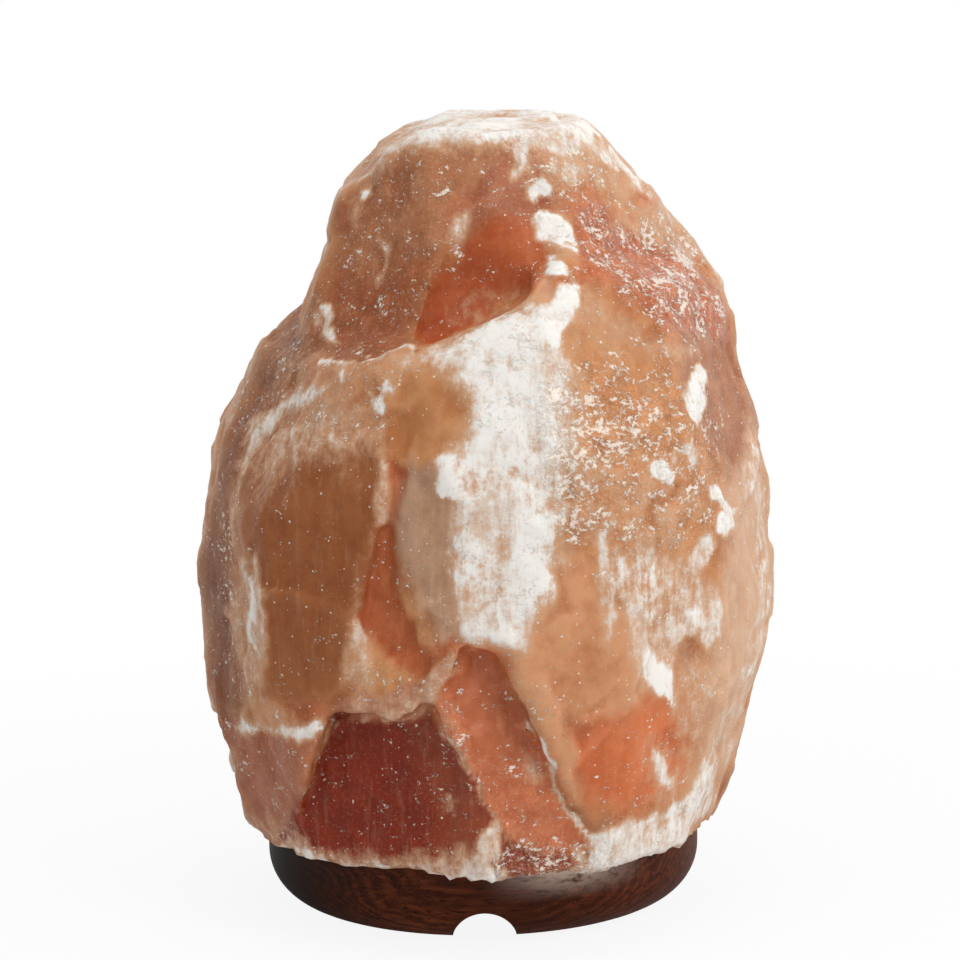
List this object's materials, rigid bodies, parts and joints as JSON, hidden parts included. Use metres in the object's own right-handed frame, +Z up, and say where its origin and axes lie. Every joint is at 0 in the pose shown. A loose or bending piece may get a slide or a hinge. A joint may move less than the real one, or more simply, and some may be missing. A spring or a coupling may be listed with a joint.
{
  "type": "salt crystal lamp",
  "caption": "Table lamp made of a rough block of pink rock salt on a turned dark wood base, lit from inside by a small bulb whose sprung holder pulls out from below.",
  "frame": {"origin": "on the table, on the axis of the turned base", "axes": "+Z up, +X to the right as the picture shows it, -Y towards the viewer and the cord's notch"},
  "size_m": [0.1641, 0.181, 0.2269],
  "materials": {
    "rock_salt": "satin",
    "stained_wood": "satin",
    "foot_rubber": "matte",
    "plated_steel": "satin",
    "plug_nylon": "matte",
    "holder_plastic": "satin",
    "spring_steel": "satin",
    "white_ceramic": "satin",
    "contact_brass": "satin",
    "solder": "satin",
    "black_glass": "gloss",
    "cap_nickel": "satin",
    "clear_glass": "gloss",
    "tungsten": "satin"
  },
  "bodies": {
    "lamp_body": {"salt_crystal": "rock_salt", "wooden_base": "stained_wood", "rubber_feet": "foot_rubber", "fixing_screws": "plated_steel", "wall_plugs": "plug_nylon"},
    "lamp_holder": {"entry_bush": "holder_plastic", "grip_screw": "plug_nylon", "holder_cap": "holder_plastic", "holder_skirt": "holder_plastic", "ring_nut": "holder_plastic", "clip_plate": "spring_steel", "contact_block": "white_ceramic", "centre_contact": "contact_brass", "terminals": "contact_brass", "terminal_screws": "plated_steel", "screw_shell": "contact_brass", "shell_rivets": "contact_brass"},
    "left_arm": {"left_clip_arm": "spring_steel"},
    "right_arm": {"right_clip_arm": "spring_steel"},
    "bulb_tip": {"bulb_contact": "solder", "bulb_insulator": "black_glass"},
    "bulb": {"bulb_cap": "cap_nickel", "bulb_glass": "clear_glass", "bulb_stem": "clear_glass", "lead_wires": "cap_nickel", "filament": "tungsten", "support_wire": "tungsten"}
  },
  "joints": [
    {"name": "holder_slide", "type": "slide", "parent": "lamp_body", "child": "lamp_holder", "axis": [0, 0, -1], "range_m": [0, 0.125]},
    {"name": "left_arm_squeeze", "type": "hinge", "parent": "lamp_holder", "child": "left_arm", "pos_m": [-0.019, 0, 0.0529], "axis": [0, -1, 0], "range_deg": [0, 10], "stiffness_Nm_per_rad": 0.05, "springref_deg": -5.73},
    {"name": "right_arm_squeeze", "type": "hinge", "parent": "lamp_holder", "child": "right_arm", "pos_m": [0.019, 0, 0.0529], "axis": [0, 1, 0], "range_deg": [0, 10], "stiffness_Nm_per_rad": 0.05, "springref_deg": -5.73},
    {"name": "bulb_rise", "type": "slide", "parent": "lamp_holder", "child": "bulb_tip", "axis": [0, 0, 1], "range_m": [0, 0.0113]},
    {"name": "bulb_turn", "type": "hinge", "parent": "bulb_tip", "child": "bulb", "pos_m": [0, 0, 0.07], "axis": [0, 0, 1], "range_deg": [0, 1440]}
  ],
  "couplings": [
    {"joint": "bulb_rise", "follows": "bulb_turn", "m_per_rad": 0.00044913}
  ]
}
